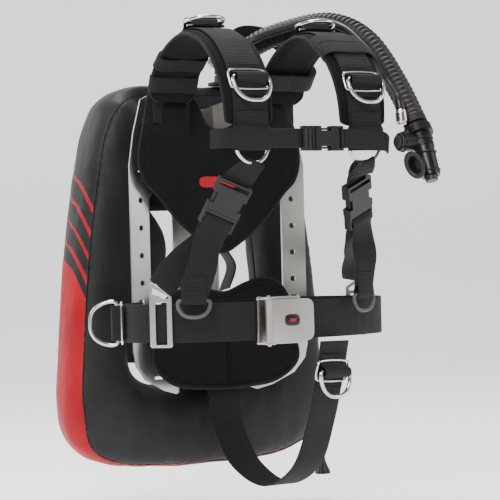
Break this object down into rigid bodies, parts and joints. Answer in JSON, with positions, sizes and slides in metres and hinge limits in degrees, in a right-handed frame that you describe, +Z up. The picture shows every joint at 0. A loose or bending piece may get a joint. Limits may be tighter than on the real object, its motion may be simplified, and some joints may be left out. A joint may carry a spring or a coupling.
{
  "type": "buoyancy compensator vest",
  "caption": "Backplate-and-wing buoyancy compensator with padded harness, waist and crotch straps, tank bands and a power inflator.",
  "frame": {"origin": "middle of the wing's centre panel where the tank rests, level with the plate's middle", "axes": "+Y out of the tank face towards the tank, +Z up along the wearer's back, +X to the wearer's left"},
  "size_m": [0.4536, 0.5778, 0.6588],
  "materials": {
    "plate_steel": "satin stainless sheet with a fine vertical grain",
    "ring_steel": "polished stainless wire and strip",
    "satin_steel": "satin stainless lever plate",
    "wing_nylon": "coated black nylon with a soft sheen, red side panel and stripes",
    "bladder_film": "smooth heat-welded polyurethane film",
    "neoprene": "matt black pad cloth with a bound edge",
    "webbing": "black nylon webbing with a coarse weave",
    "hose_rubber": "ribbed rubber, semi-matt",
    "lp_rubber": "smooth low-pressure hose rubber",
    "soft_rubber": "soft moulded rubber",
    "fitting_steel": "nickel-plated brass fitting",
    "grey_plastic": "dark grey moulded plastic",
    "cord_nylon": "braided nylon cord",
    "button_plastic": "grey moulded plastic",
    "black_plastic": "fine-grained black moulded plastic"
  },
  "bodies": {
    "root": {"backplate": "plate_steel", "wing_front_cover": "wing_nylon", "wing_rear_cover": "wing_nylon", "wing_bladder": "bladder_film", "wing_center_panel": "wing_nylon", "hose_elbow": "soft_rubber", "dump_valve": "black_plastic", "back_pad": "neoprene", "lumbar_pad": "neoprene", "right_shoulder_pad": "neoprene", "right_shoulder_webbing": "webbing", "right_strap_slide": "ring_steel", "right_strap_ring": "ring_steel", "right_buckle_socket": "black_plastic", "right_buckle_webbing": "webbing", "right_adjuster_webbing": "webbing", "right_belt_link": "ring_steel", "left_shoulder_pad": "neoprene", "left_shoulder_webbing": "webbing", "left_strap_slide": "ring_steel", "left_strap_ring": "ring_steel", "left_buckle_socket": "black_plastic", "left_buckle_webbing": "webbing", "left_adjuster_webbing": "webbing", "left_belt_link": "ring_steel", "chest_socket": "black_plastic", "chest_strap_right": "webbing", "chest_strap_left": "webbing", "waist_belt_right": "webbing", "waist_belt_left": "webbing", "waist_buckle_frame": "ring_steel", "waist_buckle_pin": "ring_steel", "crotch_strap": "webbing", "tank_band_upper": "webbing", "tank_band_lower": "webbing", "corrugated_hose": "hose_rubber", "lp_hose": "lp_rubber", "lp_hose_fitting": "fitting_steel", "quick_disconnect": "fitting_steel", "inflator_body": "black_plastic", "inflator_mouthpiece": "soft_rubber", "hose_retainer": "webbing"},
    "right_upper_ring": {"right_upper_d_ring": "ring_steel"},
    "left_upper_ring": {"left_upper_d_ring": "ring_steel"},
    "right_lower_ring": {"right_lower_d_ring": "ring_steel"},
    "left_lower_ring": {"left_lower_d_ring": "ring_steel"},
    "hip_ring": {"hip_d_ring": "ring_steel"},
    "crotch_ring": {"crotch_d_ring": "ring_steel"},
    "right_plug": {"right_buckle_plug": "black_plastic"},
    "left_plug": {"left_buckle_plug": "black_plastic"},
    "right_pull": {"right_pull_ring": "grey_plastic"},
    "left_pull": {"left_pull_ring": "grey_plastic"},
    "chest_plug_body": {"chest_plug": "black_plastic"},
    "buckle_lever": {"waist_buckle_lever": "satin_steel"},
    "inflate": {"inflate_button": "button_plastic"},
    "deflate": {"deflate_button": "button_plastic"},
    "dump_pull": {"dump_pull_cord": "cord_nylon", "dump_pull_knob": "black_plastic"},
    "tank_lever_upper": {"tank_buckle_upper": "black_plastic"},
    "tank_lever_lower": {"tank_buckle_lower": "black_plastic"}
  },
  "joints": [
    {"name": "right_upper_ring_swing", "type": "hinge", "parent": "root", "child": "right_upper_ring", "pos_m": [-0.086, -0.19755, 0.29079], "axis": [-1, 0, 0], "range_deg": [0, 165]},
    {"name": "left_upper_ring_swing", "type": "hinge", "parent": "root", "child": "left_upper_ring", "pos_m": [0.086, -0.19755, 0.29079], "axis": [-1, 0, 0], "range_deg": [0, 30]},
    {"name": "right_lower_ring_swing", "type": "hinge", "parent": "root", "child": "right_lower_ring", "pos_m": [-0.086, -0.32472, 0.21007], "axis": [-1, 0, 0], "range_deg": [0, 165]},
    {"name": "left_lower_ring_swing", "type": "hinge", "parent": "root", "child": "left_lower_ring", "pos_m": [0.086, -0.32472, 0.21007], "axis": [-1, 0, 0], "range_deg": [0, 165]},
    {"name": "hip_ring_swing", "type": "hinge", "parent": "root", "child": "hip_ring", "pos_m": [-0.1943, -0.14542, -0.101], "axis": [0, 0, 1], "range_deg": [-60, 60]},
    {"name": "crotch_ring_swing", "type": "hinge", "parent": "root", "child": "crotch_ring", "pos_m": [0.0533, -0.28794, -0.1718], "axis": [-0.9788, -0.2002, 0.0423], "range_deg": [0, 140]},
    {"name": "right_buckle_slide", "type": "slide", "parent": "root", "child": "right_plug", "axis": [-0.3, 0.4, -0.866], "range_m": [0, 0.02], "deforming": ["right_adjuster_webbing"]},
    {"name": "left_buckle_slide", "type": "slide", "parent": "root", "child": "left_plug", "axis": [0.3, 0.4, -0.866], "range_m": [0, 0.02], "deforming": ["left_adjuster_webbing"]},
    {"name": "right_pull_ring_swing", "type": "hinge", "parent": "right_plug", "child": "right_pull", "pos_m": [-0.146, -0.2703, -0.072], "axis": [-0.8645, 0.5026, 0], "range_deg": [-10, 80]},
    {"name": "left_pull_ring_swing", "type": "hinge", "parent": "left_plug", "child": "left_pull", "pos_m": [0.108, -0.2763, -0.072], "axis": [-0.9487, -0.3162, 0], "range_deg": [-10, 80]},
    {"name": "chest_buckle_slide", "type": "slide", "parent": "root", "child": "chest_plug_body", "axis": [-1, 0, 0], "range_m": [0, 0.025], "deforming": ["chest_strap_right"]},
    {"name": "waist_lever_swing", "type": "hinge", "parent": "root", "child": "buckle_lever", "pos_m": [-0.045, -0.28604, -0.101], "axis": [0, 0, -1], "range_deg": [0, 140]},
    {"name": "inflate_press", "type": "slide", "parent": "root", "child": "inflate", "axis": [1, 0, 0], "range_m": [0, 0.004], "stiffness_N_per_m": 800},
    {"name": "deflate_press", "type": "slide", "parent": "root", "child": "deflate", "axis": [0, 0.3162, 0.9487], "range_m": [0, 0.004], "stiffness_N_per_m": 800},
    {"name": "dump_pull_travel", "type": "slide", "parent": "root", "child": "dump_pull", "axis": [0, 0, -1], "range_m": [0, 0.012]},
    {"name": "upper_tank_lever_swing", "type": "hinge", "parent": "root", "child": "tank_lever_upper", "pos_m": [0.02516, 0.19471, 0.08], "axis": [0, 0, 1], "range_deg": [0, 120]},
    {"name": "lower_tank_lever_swing", "type": "hinge", "parent": "root", "child": "tank_lever_lower", "pos_m": [0.02516, 0.19471, -0.14], "axis": [0, 0, 1], "range_deg": [0, 120]}
  ]
}
